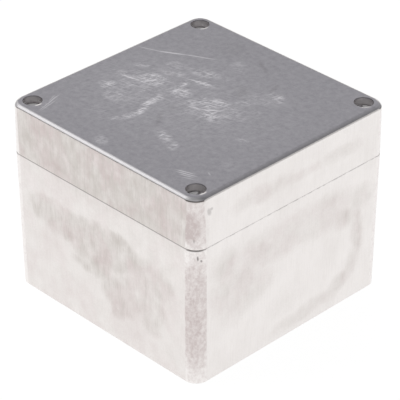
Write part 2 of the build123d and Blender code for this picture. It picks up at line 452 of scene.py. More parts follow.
SCUFFS = (
    on_top(-6, -3, 36, 25, 8, 0.16, 0.8),
    on_top(-22, -8, 15, 13, 0, 0.3, 0.8),
    on_top(8, -1, 13, 8, 20, 0.42, 0.8),
    on_top(-24, -1, 6.5, 4.5, 30, 0.75),
    on_top(-9.5, 0, 5, 3.2, 0, 0.8),
    on_top(-13, 5, 4, 1.2, 100, 0.7),
    on_top(5, 2, 8, 4.5, 25, 0.6),
    on_top(11, -4, 5, 3.4, 0, 0.75),
    on_top(0, -3, 3, 3, 0, 0.5),
    on_top(-12, -12, 5.5, 2.2, 85, 0.75),
    on_top(-10, -22, 6.5, 1.8, 88, 0.75),
    on_top(-12.5, -30, 2, 1.2, 60, 0.6),
    on_top(-33, -15, 3, 2.8, 0, 0.6),
    on_top(-31, -5, 7, 2, 8, 0.6),
    on_top(-29, -10, 5, 1.6, 15, 0.5),
    on_top(-24, -19, 6, 4, 0, 0.42),
    on_top(-20, -30, 7, 4, -30, 0.14),
    on_top(-22, 8, 7, 1.8, 22, 0.5),
    on_top(-8, 10.5, 5.5, 1.6, 15, 0.65),
    on_top(-12, 17, 9, 2.4, 22, 0.45),
    on_top(-25, 13, 6, 3, 0, 0.3),
    on_top(-8, 29, 4, 3.4, 0, 0.28),
    on_top(19, 22, 5, 2.4, -15, 0.5),
    on_top(16, 18, 8, 5, 30, 0.26),
    on_top(13, 11, 3, 2, 40, 0.45),
    on_top(22, 9, 2, 1.2, 90, 0.4),
    on_top(10, -26.5, 5, 2.2, -25, 0.55),
    on_top(17, -29, 2.2, 2.2, 0, 0.55),
    on_top(31, -8.5, 2.4, 1.2, 30, 0.5),
    on_top(-35, 4, 3, 1.4, 20, 0.5),
    on_top(40, -24, 3, 3, 0, 0.16),
    on_top(-4, -44, 3, 2, 0, 0.35),
)
SMUDGES = (
    on_top(-1, 35.8, 4.5, 0.8, -28, 0.8),
    on_top(13.3, 26.8, 3.2, 0.8, 105, 0.7),
    on_top(6.5, 16.5, 4.5, 2.5, -42, 0.5),
    on_top(-1, -19, 4.5, 0.9, -52, 0.65),
    on_top(-20, 38, 7, 5, 0, 0.25),
    on_top(-3, -8, 2, 4, 0, 0.3),
)
SCRATCHES = (
    stroke((-46.8, 13.4), (-37.5, 16.8), 0.55, 0.65),
    stroke((-39, 16.2), (-29, 21.8), 0.9, 1.0),
    stroke((-30.5, 21.2), (-18.5, 27.2), 0.7, 0.8),
    stroke((-39.8, -33.5), (-37.2, -42), 0.5, 0.8),
    stroke((-38.8, -36), (-36.2, -46.5), 0.5, 0.7),
    stroke((-37.4, -37), (-35.4, -47), 0.45, 0.6),
    stroke((-40.5, -35), (-38.6, -39.5), 0.45, 0.5),
    stroke((-38.5, -41.5), (-35.8, -40.8), 0.4, 0.5),
    stroke((-38, -44), (-35.2, -43.4), 0.4, 0.5),
    stroke((29.6, -39.4), (35.8, -37.0), 0.55, 1.0),
    stroke((30.4, -40.2), (37.6, -37.6), 0.55, 1.0),
    stroke((32.4, -40.6), (37.2, -38.9), 0.5, 0.8),
    stroke((34.4, -41.4), (38.4, -39.6), 0.5, 0.6),
    stroke((38.6, -32.6), (40.6, -33.6), 0.6, 0.5),
    stroke((0, -5.4), (6.5, -3.2), 0.8, 0.8),
    stroke((5.5, -3.4), (11.5, 1.2), 0.8, 1.0),
    stroke((2, 4.4), (9, 6.2), 0.7, 0.5),
    stroke((-35.5, -6.3), (-23, -4.2), 0.8, 0.7),
    stroke((-16, 9), (-5, 11.8), 0.7, 0.6),
    stroke((15.4, -29.4), (18, -27.4), 0.6, 0.6),
)
# Worn, chipped near edges of the four screw holes, painted bright as glints: partly wear, partly a
# painted highlight.
HOLE_EDGE_WEAR_AND_GLINT = (
    on_top(-39.5, -43.9, 1.3, 0.45, 82, 1.0, 0.5),
    on_top(47.2, -43.6, 1.4, 0.45, 86, 1.0, 0.5),
    on_top(-39.8, 42.2, 1.5, 0.5, 75, 0.8, 0.5),
    on_top(46.4, 41.2, 1.6, 0.5, 55, 0.6, 0.5),
)


def outward_distance(tree, parts, which):
    """The greater or smaller of a point's distances from the box's two upright middle planes."""
    across = add_node(tree, "ShaderNodeMath", {0: parts.outputs["X"]}, operation="ABSOLUTE")
    along = add_node(tree, "ShaderNodeMath", {0: parts.outputs["Y"]}, operation="ABSOLUTE")
    return add_node(tree, "ShaderNodeMath", {0: across, 1: along}, operation=which)


def leaning(tree, height, below, above):
    """How far a line has moved at each height.

    It leans by one slope below the joint and by another above it."""
    low = add_node(tree, "ShaderNodeMath", {0: height, 1: below}, operation="MULTIPLY")
    high = add_node(tree, "ShaderNodeMath", {0: height, 1: above}, operation="MULTIPLY")
    return add_node(tree, "ShaderNodeMath", {0: low, 1: high}, operation="MAXIMUM")


def ground_share(tree, place, parts, split, strip_edge, finish):
    """1 on the four ground planes, 0 on the cast skin inside them and on the upright corners."""
    height = add_node(tree, "ShaderNodeMath", {0: parts.outputs["Z"], 1: split},
                      operation="SUBTRACT")
    ragged = add_node(tree, "ShaderNodeMath", {0: grain(tree, place, (1.2, 1.2, 3.0)), 1: 0.5},
                      operation="SUBTRACT")
    draft = leaning(tree, height, -math.tan(finish.base_draft), math.tan(finish.lid_draft))
    plane = add_node(tree, "ShaderNodeMath", {
        0: outward_distance(tree, parts, "MAXIMUM"), 1: draft}, operation="ADD")
    deeper = add_node(tree, "ShaderNodeMapRange", {
        "Value": parts.outputs["X"], "From Min": SIDE - 4.5, "From Max": SIDE - 2.5,
        "To Max": finish.right_cut / MM})
    plane = add_node(tree, "ShaderNodeMath", {0: plane, 1: deeper}, operation="ADD")
    plane = add_node(tree, "ShaderNodeMath", {0: ragged, 1: PLANE_WAVER, 2: plane},
                     operation="MULTIPLY_ADD")
    on_plane = add_node(tree, "ShaderNodeMapRange", {
        "Value": plane, "From Min": SIDE - 0.12, "From Max": SIDE - 0.02},
        interpolation_type="SMOOTHSTEP")
    taper = leaning(tree, height, math.tan(finish.base_strip_lean),
                    math.tan(finish.lid_strip_lean))
    strip = add_node(tree, "ShaderNodeMath", {
        0: outward_distance(tree, parts, "MINIMUM"), 1: taper}, operation="SUBTRACT")
    strip = add_node(tree, "ShaderNodeMath", {0: ragged, 1: STRIP_WAVER, 2: strip},
                     operation="MULTIPLY_ADD")
    off_strip = add_node(tree, "ShaderNodeMapRange", {
        "Value": strip, "From Min": strip_edge - 0.1, "From Max": strip_edge + 0.15,
        "To Min": 1.0, "To Max": 0.0}, interpolation_type="SMOOTHSTEP")
    return add_node(tree, "ShaderNodeMath", {0: on_plane, 1: off_strip}, operation="MULTIPLY")


def ground_metal(tree, place, finish, blooms_and_shade):
    """Colour of the ground sides: pale, dulled in clouds, and crossed by fine upright lines.

    The lines show most in the clouds. Those of a real belt are finer, too fine for the render. On
    the base's front, the two widest clouds are a painted shade."""
    hue = add_node(tree, "ShaderNodeMapRange", {
        "Value": grain(tree, place, (9.0, 9.0, 11.0)), "From Min": 0.4, "From Max": 0.6})
    dull = add_node(tree, "ShaderNodeMix", {
        "Factor": hue, "A": finish.haze_colour, "B": finish.bloom_colour}, data_type="RGBA")
    cover = clouded(tree, place, blooms_and_shade)
    speckle = add_node(tree, "ShaderNodeMapRange", {
        "Value": grain(tree, place, (0.8, 0.8, 0.8), detail=3.0, rough=0.7),
        "From Min": 0.35, "From Max": 0.65, "To Min": -0.06, "To Max": 0.06})
    cover_here = add_node(tree, "ShaderNodeMath", {0: cover, 1: speckle}, operation="ADD",
                          use_clamp=True)
    colour = add_node(tree, "ShaderNodeMix", {
        "Factor": cover_here, "A": finish.ground_colour, "B": dull}, data_type="RGBA")
    haze = add_node(tree, "ShaderNodeMapRange", {
        "Value": grain(tree, place, (9.0, 9.0, 12.0), detail=4.0),
        "From Min": 0.4, "From Max": 0.75, "To Max": 0.15})
    colour = add_node(tree, "ShaderNodeMix", {
        "Factor": haze, "A": colour, "B": finish.haze_colour}, data_type="RGBA")
    pitch, length = finish.grind_pitch / MM, finish.grind_length / MM
    lines = grain(tree, place, (pitch, pitch, length), detail=3.0, rough=0.7)
    strength = add_node(tree, "ShaderNodeMapRange", {
        "Value": cover, "From Min": 0.3, "From Max": 0.65, "To Min": 0.12, "To Max": 0.85})
    dark_lines = add_node(tree, "ShaderNodeMapRange", {
        "Value": lines, "From Min": 0.45, "From Max": 0.72, "To Max": strength})
    colour = add_node(tree, "ShaderNodeMix", {
        "Factor": dark_lines, "A": colour, "B": finish.haze_colour}, data_type="RGBA")
    return colour, lines


def corner_skin(tree, place, finish, stains):
    """Colour of the cast skin on the upright corners: pinkish grey and finely mottled."""
    mottle = add_node(tree, "ShaderNodeMapRange", {
        "Value": grain(tree, place, (1.4, 1.4, 1.8), detail=4.0, rough=0.75),
        "From Min": 0.35, "From Max": 0.65, "To Min": -0.25, "To Max": 0.3})
    stained = marks(tree, shaken(tree, place, 4.0, 3.0), stains)
    cover = add_node(tree, "ShaderNodeMath", {0: stained, 1: mottle}, operation="ADD",
                     use_clamp=True)
    return add_node(tree, "ShaderNodeMix", {
        "Factor": cover, "A": finish.ground_colour, "B": finish.corner_colour}, data_type="RGBA")


def worn_top(tree, place, parts, finish):
    """Colour of the lid's cast top and rim: mid grey, rubbed bright in patches and scratches.

    The rounded rim is worn most along the front, its rear and left edges are bare, and a painted
    shade of the crease lies under it, least on the left. The screw holes' near edges carry painted
    glints."""
    shade = add_node(tree, "ShaderNodeMapRange", {
        "Value": grain(tree, place, (2.5, 2.5, 2.5), detail=5.0, rough=0.8),
        "From Min": 0.3, "From Max": 0.7, "To Max": 0.26})
    skin = add_node(tree, "ShaderNodeMix", {
        "Factor": shade, "A": finish.skin_colour, "B": finish.scuff_colour}, data_type="RGBA")
    streaks = add_node(tree, "ShaderNodeMath", {
        0: grain(tree, place, (4.2, 1.0, 2.0), detail=3.0, rough=0.7, turn=20.0),
        1: grain(tree, place, (4.6, 1.1, 2.0), detail=3.0, rough=0.7, turn=78.0)},
        operation="MAXIMUM")
    rubbed = add_node(tree, "ShaderNodeMapRange", {
        "Value": streaks, "From Min": 0.46, "From Max": 0.7, "To Max": 2.0})
    scuffs = add_node(tree, "ShaderNodeMath", {
        0: marks(tree, shaken(tree, place, 5.0, 4.0), SCUFFS), 1: rubbed}, operation="MULTIPLY")
    scratches = marks(tree, shaken(tree, place, 5.0, 0.8), SCRATCHES)
    bright = add_node(tree, "ShaderNodeMath", {0: scratches, 1: SCRATCH_SHARE, 2: scuffs},
                      operation="MULTIPLY_ADD", use_clamp=True)
    skin = add_node(tree, "ShaderNodeMix", {
        "Factor": bright, "A": skin, "B": finish.scuff_colour}, data_type="RGBA")
    smudges = add_node(tree, "ShaderNodeMath", {
        0: marks(tree, shaken(tree, place, 4.0, 1.5), SMUDGES), 1: SMUDGE_SHARE},
        operation="MULTIPLY")
    skin = add_node(tree, "ShaderNodeMix", {
        "Factor": smudges, "A": skin, "B": finish.grime_and_shade_colour}, data_type="RGBA")
    # Painted glints: the screw holes' worn near edges take the bright ground colour.
    skin = add_node(tree, "ShaderNodeMix", {
        "Factor": marks(tree, place, HOLE_EDGE_WEAR_AND_GLINT), "A": skin, "B": finish.ground_colour},
        data_type="RGBA")
    handled = add_node(tree, "ShaderNodeMapRange", {
        "Value": parts.outputs["Y"], "From Min": FRONT + 2.5, "From Max": FRONT + 4.5,
        "To Min": 1.0, "To Max": 0.25})
    fall = add_node(tree, "ShaderNodeMapRange", {
        "Value": parts.outputs["Z"], "From Min": TOP - 0.25, "From Max": TOP - 0.05,
        "To Min": handled, "To Max": 0.0}, interpolation_type="SMOOTHSTEP")
    skin = add_node(tree, "ShaderNodeMix", {
        "Factor": fall, "A": skin, "B": finish.rim_colour}, data_type="RGBA")
    leftward = add_node(tree, "ShaderNodeMath", {0: parts.outputs["X"], 1: -1.0},
                        operation="MULTIPLY")
    rearward = add_node(tree, "ShaderNodeMath", {0: leftward, 1: parts.outputs["Y"]},
                        operation="MAXIMUM")
    rear = add_node(tree, "ShaderNodeMapRange", {
        "Value": rearward, "From Min": SIDE - 2.6, "From Max": SIDE - 1.9})
    edge = add_node(tree, "ShaderNodeMapRange", {
        "Value": parts.outputs["Z"], "From Min": TOP - 0.08, "From Max": TOP - 0.01,
        "To Min": rear, "To Max": 0.0})
    skin = add_node(tree, "ShaderNodeMix", {
        "Factor": edge, "A": skin, "B": finish.ground_colour}, data_type="RGBA")
    # Painted shade: the crease under the rounded rim is darkened, less on the left side.
    crease_shade_amount = add_node(tree, "ShaderNodeMapRange", {
        "Value": parts.outputs["X"], "From Min": 3.5 - SIDE, "From Max": 6.0 - SIDE,
        "To Min": 0.3, "To Max": 1.0})
    crease_shade = add_node(tree, "ShaderNodeMapRange", {
        "Value": parts.outputs["Z"], "From Min": TOP - 1.2, "From Max": TOP - 0.95,
        "To Min": crease_shade_amount, "To Max": 0.0}, interpolation_type="SMOOTHSTEP")
    return add_node(tree, "ShaderNodeMix", {
        "Factor": crease_shade, "A": skin, "B": finish.grime_and_shade_colour}, data_type="RGBA")


def in_screw_hole(tree, parts, finish):
    """1 on the walls and the seats of the lid's four screw holes, below their worn upper edges."""
    low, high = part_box("lid_screw_rear_right")
    hole = (low.x + high.x) / 2 / MM
    across = add_node(tree, "ShaderNodeMath", {0: parts.outputs["X"]}, operation="ABSOLUTE")
    along = add_node(tree, "ShaderNodeMath", {0: parts.outputs["Y"]}, operation="ABSOLUTE")
    flat = add_node(tree, "ShaderNodeCombineXYZ", {"X": across, "Y": along})
    away = add_node(tree, "ShaderNodeVectorMath", {0: flat, 1: (hole, hole, 0)},
                    operation="DISTANCE")
    radius = finish.hole_radius / MM
    within = add_node(tree, "ShaderNodeMapRange", {
        "Value": away.outputs["Value"], "From Min": radius + 0.05, "From Max": radius + 0.15,
        "To Min": 1.0, "To Max": 0.0})
    below = add_node(tree, "ShaderNodeMapRange", {
        "Value": parts.outputs["Z"], "From Min": TOP - 0.7, "From Max": TOP - 0.1,
        "To Min": 1.0, "To Max": 0.0})
    return add_node(tree, "ShaderNodeMath", {0: within, 1: below}, operation="MULTIPLY")


def joint_grime_and_shade(tree, place, parts, split, strip_edge):
    """Dirt under the joint, on the base's eased edge, with a painted shade of the gap under the
    lid.

    It is thick round the corners, thin on the front and broken elsewhere. The painted shade makes
    it strongest along the front and in the dark crescent round the front corners."""
    front = add_node(tree, "ShaderNodeMapRange", {
        "Value": parts.outputs["Y"], "From Min": FRONT + 0.2, "From Max": FRONT + 1.0,
        "To Min": 0.7, "To Max": 0.0})
    broken = add_node(tree, "ShaderNodeMapRange", {
        "Value": grain(tree, place, (2.5, 2.5, 2.5), detail=3.0),
        "From Min": 0.42, "From Max": 0.62, "To Max": 0.35})
    amount = add_node(tree, "ShaderNodeMath", {0: front, 1: broken}, operation="MAXIMUM")
    side = add_node(tree, "ShaderNodeMapRange", {
        "Value": parts.outputs["Z"], "From Min": split - 0.6, "From Max": split - 0.2,
        "To Max": amount})
    thick = add_node(tree, "ShaderNodeMapRange", {
        "Value": parts.outputs["Y"], "From Min": FRONT + 3.0, "From Max": FRONT + 4.6,
        "To Min": 0.65, "To Max": 0.15})
    near_corner = add_node(tree, "ShaderNodeMapRange", {
        "Value": outward_distance(tree, parts, "MINIMUM"), "From Min": strip_edge,
        "From Max": strip_edge + 1.2, "To Max": thick})
    corner = add_node(tree, "ShaderNodeMapRange", {
        "Value": parts.outputs["Z"], "From Min": split - 0.95, "From Max": split - 0.6,
        "To Max": near_corner})
    return add_node(tree, "ShaderNodeMath", {0: side, 1: corner}, operation="MAXIMUM")


def casting_finish(name, finish, split, stains, is_lid):
    """Die cast aluminium: cast skin, with the four sides ground on a belt.

    The ground planes are bright and satin, crossed by fine upright lines and dulled in clouds. The
    skin is greyer and smoother, and on the lid's top it is worn through in places."""
    material, tree = new_material(name)
    place = place_in_mm(tree)
    parts = add_node(tree, "ShaderNodeSeparateXYZ", {0: place})
    strip_edge = (cad_box[1].x - finish.strip_width) / MM
    blooms_and_shade, corner_stains, pits = stains
    ground, lines = ground_metal(tree, place, finish, blooms_and_shade)
    ground_here = ground_share(tree, place, parts, split, strip_edge, finish)
    colour = add_node(tree, "ShaderNodeMix", {
        "Factor": ground_here, "A": corner_skin(tree, place, finish, corner_stains), "B": ground},
        data_type="RGBA")
    pitted = marks(tree, shaken(tree, place, 1.5, 0.5), pits)
    colour = add_node(tree, "ShaderNodeMix", {
        "Factor": pitted, "A": colour, "B": finish.grime_and_shade_colour}, data_type="RGBA")
    inner = add_node(tree, "ShaderNodeMapRange", {
        "Value": outward_distance(tree, parts, "MAXIMUM"), "From Min": SIDE - 5.0,
        "From Max": SIDE - 3.5, "To Min": 1.0, "To Max": 0.0})
    if is_lid:
        upper = add_node(tree, "ShaderNodeMapRange", {
            "Value": parts.outputs["Z"], "From Min": TOP - 1.7, "From Max": TOP - 1.3})
        skin_here = add_node(tree, "ShaderNodeMath", {0: 1.0, 1: ground_here},
                             operation="SUBTRACT")
        skin_here = add_node(tree, "ShaderNodeMath", {0: skin_here, 1: upper},
                             operation="MULTIPLY")
        colour = add_node(tree, "ShaderNodeMix", {
            "Factor": skin_here, "A": colour, "B": worn_top(tree, place, parts, finish)},
            data_type="RGBA")
        below_top = add_node(tree, "ShaderNodeMapRange", {
            "Value": parts.outputs["Z"], "From Min": TOP - 1.0, "From Max": TOP - 0.5,
            "To Min": 1.0, "To Max": 0.0})
        inner = add_node(tree, "ShaderNodeMath", {0: inner, 1: below_top}, operation="MULTIPLY")
        bore_or_joint_colour, bore_or_joint_here = finish.bore_colour, in_screw_hole(tree, parts, finish)
    else:
        underside = add_node(tree, "ShaderNodeMapRange", {
            "Value": parts.outputs["Z"], "From Min": 0.05, "From Max": 0.15,
            "To Min": 1.0, "To Max": 0.0})
        inner = add_node(tree, "ShaderNodeMath", {0: inner, 1: underside}, operation="MAXIMUM")
        # On the base: the joint's dirt and a painted shade of the gap under the lid.
        bore_or_joint_colour, bore_or_joint_here = finish.grime_and_shade_colour, joint_grime_and_shade(tree, place, parts, split, strip_edge)
    flow = add_node(tree, "ShaderNodeMapRange", {
        "Value": grain(tree, place, (5.0, 5.0, 8.0), detail=4.0),
        "From Min": 0.4, "From Max": 0.65, "To Max": 0.5})
    inside = add_node(tree, "ShaderNodeMix", {
        "Factor": flow, "A": finish.inside_colour, "B": finish.skin_colour}, data_type="RGBA")
    colour = add_node(tree, "ShaderNodeMix", {"Factor": inner, "A": colour, "B": inside},
                      data_type="RGBA")
    colour = add_node(tree, "ShaderNodeMix", {"Factor": bore_or_joint_here, "A": colour, "B": bore_or_joint_colour},
                      data_type="RGBA")

    dents = grain(tree, place, (finish.skin_grain / MM,) * 3)
    relief = add_node(tree, "ShaderNodeMix", {"Factor": ground_here, "A": dents, "B": lines})
    bump = add_node(tree, "ShaderNodeBump", {
        "Strength": 0.3, "Distance": 0.02 * MM, "Height": relief})
    shine = add_node(tree, "ShaderNodeMix", {"Factor": ground_here, "A": 0.42, "B": 0.44})
    metal = add_node(tree, "ShaderNodeBsdfPrincipled", {
        "Base Color": colour, "Metallic": 1.0, "Roughness": shine, "Normal": bump})
    add_node(tree, "ShaderNodeOutputMaterial", {"Surface": metal})
    return material


def turned_steel_finish(screws):
    """Stainless steel turned on a lathe: fine rings across the light, and a dull film in places."""
    material, tree = new_material("turned_stainless_steel")
    place = place_in_mm(tree)
    film = add_node(tree, "ShaderNodeMapRange", {
        "Value": grain(tree, place, (2.0, 2.0, 2.0), detail=3.0),
        "From Min": 0.35, "From Max": 0.7, "To Max": 0.8})
    colour = add_node(tree, "ShaderNodeMix", {
        "Factor": film, "A": screws.steel_colour, "B": screws.stain_colour}, data_type="RGBA")
    bump = add_node(tree, "ShaderNodeBump", {
        "Strength": 0.3, "Distance": 0.01 * MM, "Height": grain(tree, place, (0.3, 0.3, 0.08))})
    metal = add_node(tree, "ShaderNodeBsdfPrincipled", {
        "Base Color": colour, "Metallic": 1.0, "Roughness": 0.55, "Normal": bump})
    add_node(tree, "ShaderNodeOutputMaterial", {"Surface": metal})
    return material


def pressed_steel_finish(screws):
    """Stainless steel sheet, tumbled after pressing: even, dull and finely dented."""
    material, tree = new_material("pressed_stainless_steel")
    place = place_in_mm(tree)
    shade = grain(tree, place, (1.6, 1.6, 1.6), detail=3.0)
    colour = add_node(tree, "ShaderNodeMix", {
        "Factor": shade, "A": screws.steel_colour, "B": screws.stain_colour}, data_type="RGBA")
    bump = add_node(tree, "ShaderNodeBump", {
        "Strength": 0.3, "Distance": 0.015 * MM, "Height": grain(tree, place, (0.35, 0.35, 0.35))})
    metal = add_node(tree, "ShaderNodeBsdfPrincipled", {
        "Base Color": colour, "Metallic": 1.0, "Roughness": 0.4, "Normal": bump})
    add_node(tree, "ShaderNodeOutputMaterial", {"Surface": metal})
    return material


def rubber_finish():
    """Moulded black rubber: almost black, with a soft sheen and a little dust."""
    material, tree = new_material("moulded_black_rubber")
    place = place_in_mm(tree)
    dust = add_node(tree, "ShaderNodeMapRange", {
        "Value": grain(tree, place, (1.5, 1.5, 1.5), detail=3.0),
        "From Min": 0.45, "From Max": 0.75, "To Max": 0.4})
    colour = add_node(tree, "ShaderNodeMix", {
        "Factor": dust, "A": linear("232323"), "B": linear("4A4846")}, data_type="RGBA")
    bump = add_node(tree, "ShaderNodeBump", {
        "Strength": 0.3, "Distance": 0.02 * MM, "Height": grain(tree, place, (0.4, 0.4, 0.4))})
    rubber = add_node(tree, "ShaderNodeBsdfPrincipled", {
        "Base Color": colour, "Roughness": 0.6, "IOR": 1.52, "Normal": bump})
    add_node(tree, "ShaderNodeOutputMaterial", {"Surface": rubber})
    return material


def nylon_finish():
    """Moulded natural nylon: milky, with light passing a little way in."""
    material, tree = new_material("moulded_natural_nylon")
    cloudy = grain(tree, place_in_mm(tree), (2.5, 2.5, 2.5))
    colour = add_node(tree, "ShaderNodeMix", {
        "Factor": cloudy, "A": linear("DCD8CC"), "B": linear("EEEBE1")}, data_type="RGBA")
    nylon = add_node(tree, "ShaderNodeBsdfPrincipled", {
        "Base Color": colour, "Roughness": 0.42, "IOR": 1.53, "Subsurface Weight": 0.2,
        "Subsurface Scale": 1.5 * MM})
    add_node(tree, "ShaderNodeOutputMaterial", {"Surface": nylon})
    return material


def dress(node, material):
    """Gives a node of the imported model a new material."""
    for material_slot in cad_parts[node].material_slots:
        material_slot.material = material


def add_disc(name, radius, height):
    """A flat round face, left open for editing with that face selected."""
    bpy.ops.object.select_all(action="DESELECT")
    bpy.ops.mesh.primitive_circle_add(vertices=ROUND_SIDES, radius=radius, fill_type="NGON",
                                      location=(0, 0, height))
    bpy.ops.object.transform_apply(location=True, rotation=True, scale=True)
    bpy.context.object.name = name
    bpy.ops.object.mode_set(mode="EDIT")
    bpy.ops.mesh.select_all(action="SELECT")
    return bpy.context.object


def pull(height):
    """Extrudes what is selected straight up or down."""
    bpy.ops.mesh.extrude_region_move(TRANSFORM_OT_translate={"value": (0, 0, height)})


def close_mesh():
    """Ends editing, with the normals outward."""
    bpy.ops.mesh.select_all(action="SELECT")
    bpy.ops.mesh.normals_make_consistent(inside=False)
    bpy.ops.object.mode_set(mode="OBJECT")


def apply_modifier(piece, kind, **settings):
    """Adds a modifier to a piece and applies it."""
    bpy.ops.object.select_all(action="DESELECT")
    piece.select_set(True)
    bpy.context.view_layer.objects.active = piece
    bpy.ops.object.modifier_add(type=kind)
    modifier = piece.modifiers[-1]
    for name, value in settings.items():
        setattr(modifier, name, value)
    bpy.ops.object.modifier_apply(modifier=modifier.name)


def cut_or_join(piece, tool, operation):
    """A boolean of two closed pieces, which uses the second one up."""
    apply_modifier(piece, "BOOLEAN", object=tool, operation=operation, solver="MANIFOLD")
    bpy.data.objects.remove(tool)


def slotted_head(screws, radius):
    """A cheese head on its seat at zero height, with a rounded rim and a worn slot along X."""
    head = add_disc("screw", radius, 0)
    pull(screws.head_height)
    bpy.ops.mesh.region_to_loop()
    bpy.ops.mesh.bevel(offset=screws.rim_bevel, segments=3, affect="EDGES")
    close_mesh()
    bpy.ops.object.select_all(action="DESELECT")
    bpy.ops.mesh.primitive_cube_add(size=1, location=(0, 0, screws.head_height))
    cutter = bpy.context.object
    cutter.scale = (3 * radius, screws.slot_width, 2 * screws.slot_depth)
    bpy.ops.object.transform_apply(location=True, rotation=True, scale=True)
    cut_or_join(head, cutter, "DIFFERENCE")
    apply_modifier(head, "BEVEL", width=screws.slot_wear, segments=2, limit_method="ANGLE",
                   angle_limit=math.radians(50))
    return head


def thread_strip(screws, start):
    """One pitch of the thread's profile, as a strip of edges that climbs from the start."""
    root = screws.thread_radius - screws.thread_depth
    # A metric thread's crest takes an eighth of its pitch, and its root a quarter.
    half_root, crest = screws.pitch / 8, screws.pitch / 8
    flank = (screws.pitch - 2 * half_root - crest) / 2
    bpy.ops.object.select_all(action="DESELECT")
    bpy.ops.mesh.primitive_plane_add(size=screws.pitch, location=(root, 0, start))
    bpy.ops.object.transform_apply(location=True, rotation=True, scale=True)
    strip = bpy.context.object
    bpy.ops.object.mode_set(mode="EDIT")
    bpy.ops.mesh.select_all(action="SELECT")
    bpy.ops.mesh.merge(type="CENTER")
    for outward, upward in ((0, half_root), (1, flank), (0, crest), (-1, flank), (0, half_root)):
        step = (outward * screws.thread_depth, 0, upward)
        bpy.ops.mesh.extrude_vertices_move(TRANSFORM_OT_translate={"value": step})
    bpy.ops.object.mode_set(mode="OBJECT")
    return strip


def threaded_rod(screws, top, length):
    """A closed right-handed thread that hangs from the top, with a tapered tip."""
    bottom = top - length
    # The thread starts a turn and a half below its lower cut and ends as far above its upper one.
    turns = math.ceil(length / screws.pitch) + 3
    rod = thread_strip(screws, bottom - 1.5 * screws.pitch)
    apply_modifier(rod, "SCREW", angle=math.tau, screw_offset=screws.pitch, iterations=turns,
                   steps=THREAD_STEPS, render_steps=THREAD_STEPS, use_merge_vertices=False)
    bpy.ops.object.mode_set(mode="EDIT")
    bpy.ops.mesh.select_all(action="SELECT")
    bpy.ops.mesh.remove_doubles(threshold=SHORTEST_EDGE / 2)
    bpy.ops.mesh.bisect(plane_co=(0, 0, top), plane_no=(0, 0, 1), use_fill=True,
                        clear_outer=True, threshold=CUT_TOLERANCE)
    bpy.ops.mesh.select_all(action="SELECT")
    bpy.ops.mesh.bisect(plane_co=(0, 0, bottom), plane_no=(0, 0, 1), use_fill=True,
                        clear_inner=True, threshold=CUT_TOLERANCE)
    close_mesh()
    tip = add_disc("tip", screws.thread_radius + TIP_ROOM, bottom)
    pull(length + screws.pitch)
    tip.update_from_editmode()
    lowest = min(vertex.co.z for vertex in tip.data.vertices)
    bpy.ops.object.mode_set(mode="OBJECT")
    for polygon in tip.data.polygons:
        polygon.select = False
    for edge in tip.data.edges:
        edge.select = all(tip.data.vertices[v].co.z < lowest + TIP_ROOM for v in edge.vertices)
    bpy.ops.object.mode_set(mode="EDIT")
    bpy.ops.mesh.bevel(offset=screws.thread_depth + 2 * TIP_ROOM, segments=1, affect="EDGES")
    close_mesh()
    cut_or_join(rod, tip, "INTERSECT")
    return rod


def slotted_screw(screws, radius, neck_length, thread_length):
    """A cheese head screw on the Z axis, its seat at zero height and its slot along X."""
    overlap = screws.pitch
    screw = slotted_head(screws, radius)
    neck = add_disc("neck", screws.neck_radius, screws.head_height / 4)
    pull(-screws.head_height / 4 - neck_length - overlap)
    close_mesh()
    cut_or_join(screw, neck, "UNION")
    cut_or_join(screw, threaded_rod(screws, -neck_length, thread_length), "UNION")
    # The booleans leave edges so short that the export drops faces there, so these are merged.
    bpy.ops.object.mode_set(mode="EDIT")
    bpy.ops.mesh.select_all(action="SELECT")
    bpy.ops.mesh.remove_doubles(threshold=SHORTEST_EDGE)
    bpy.ops.mesh.quads_convert_to_tris()
    bpy.ops.mesh.dissolve_degenerate(threshold=SHORTEST_EDGE / 2)
    close_mesh()
    bpy.ops.object.shade_smooth_by_angle(angle=math.radians(35))
    return screw


def stand_for(model, node, body, turn):
    """A copy of a screw, turned and set where its CAD node is, which it then stands for."""
    low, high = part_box(node)
    seat = high.z - bpy.context.scene.box_screws.head_height
    bpy.ops.object.select_all(action="DESELECT")
    model.select_set(True)
    bpy.context.view_layer.objects.active = model
    bpy.ops.object.duplicate(linked=False)
    piece = bpy.context.object
    piece.name = node + "_detailed"
    piece.location = ((low.x + high.x) / 2, (low.y + high.y) / 2, seat)
    piece.rotation_euler = (0, 0, math.radians(turn))
    bpy.ops.object.transform_apply(location=True, rotation=True, scale=True)
    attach(piece, body)
    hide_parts(node)


class BOX_OT_castings(bpy.types.Operator):
    """Gives the base and the lid their ground and cast finishes"""

    bl_idname = "box.castings"
    bl_label = "Finish the castings"

    def execute(self, context):
        finish = context.scene.box_finish
        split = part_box("lid_casting")[0].z / MM
        for node, stains in (
            ("base_casting", (BASE_BLOOMS_AND_FRONT_SHADE, BASE_CORNER_STAINS, BASE_PITS)),
            ("lid_casting", (LID_BLOOMS, LID_CORNER_STAINS, LID_PITS)),
        ):
            name = "ground_die_cast_" + node
            dress(node, casting_finish(name, finish, split, stains, node == "lid_casting"))
        return {"FINISHED"}


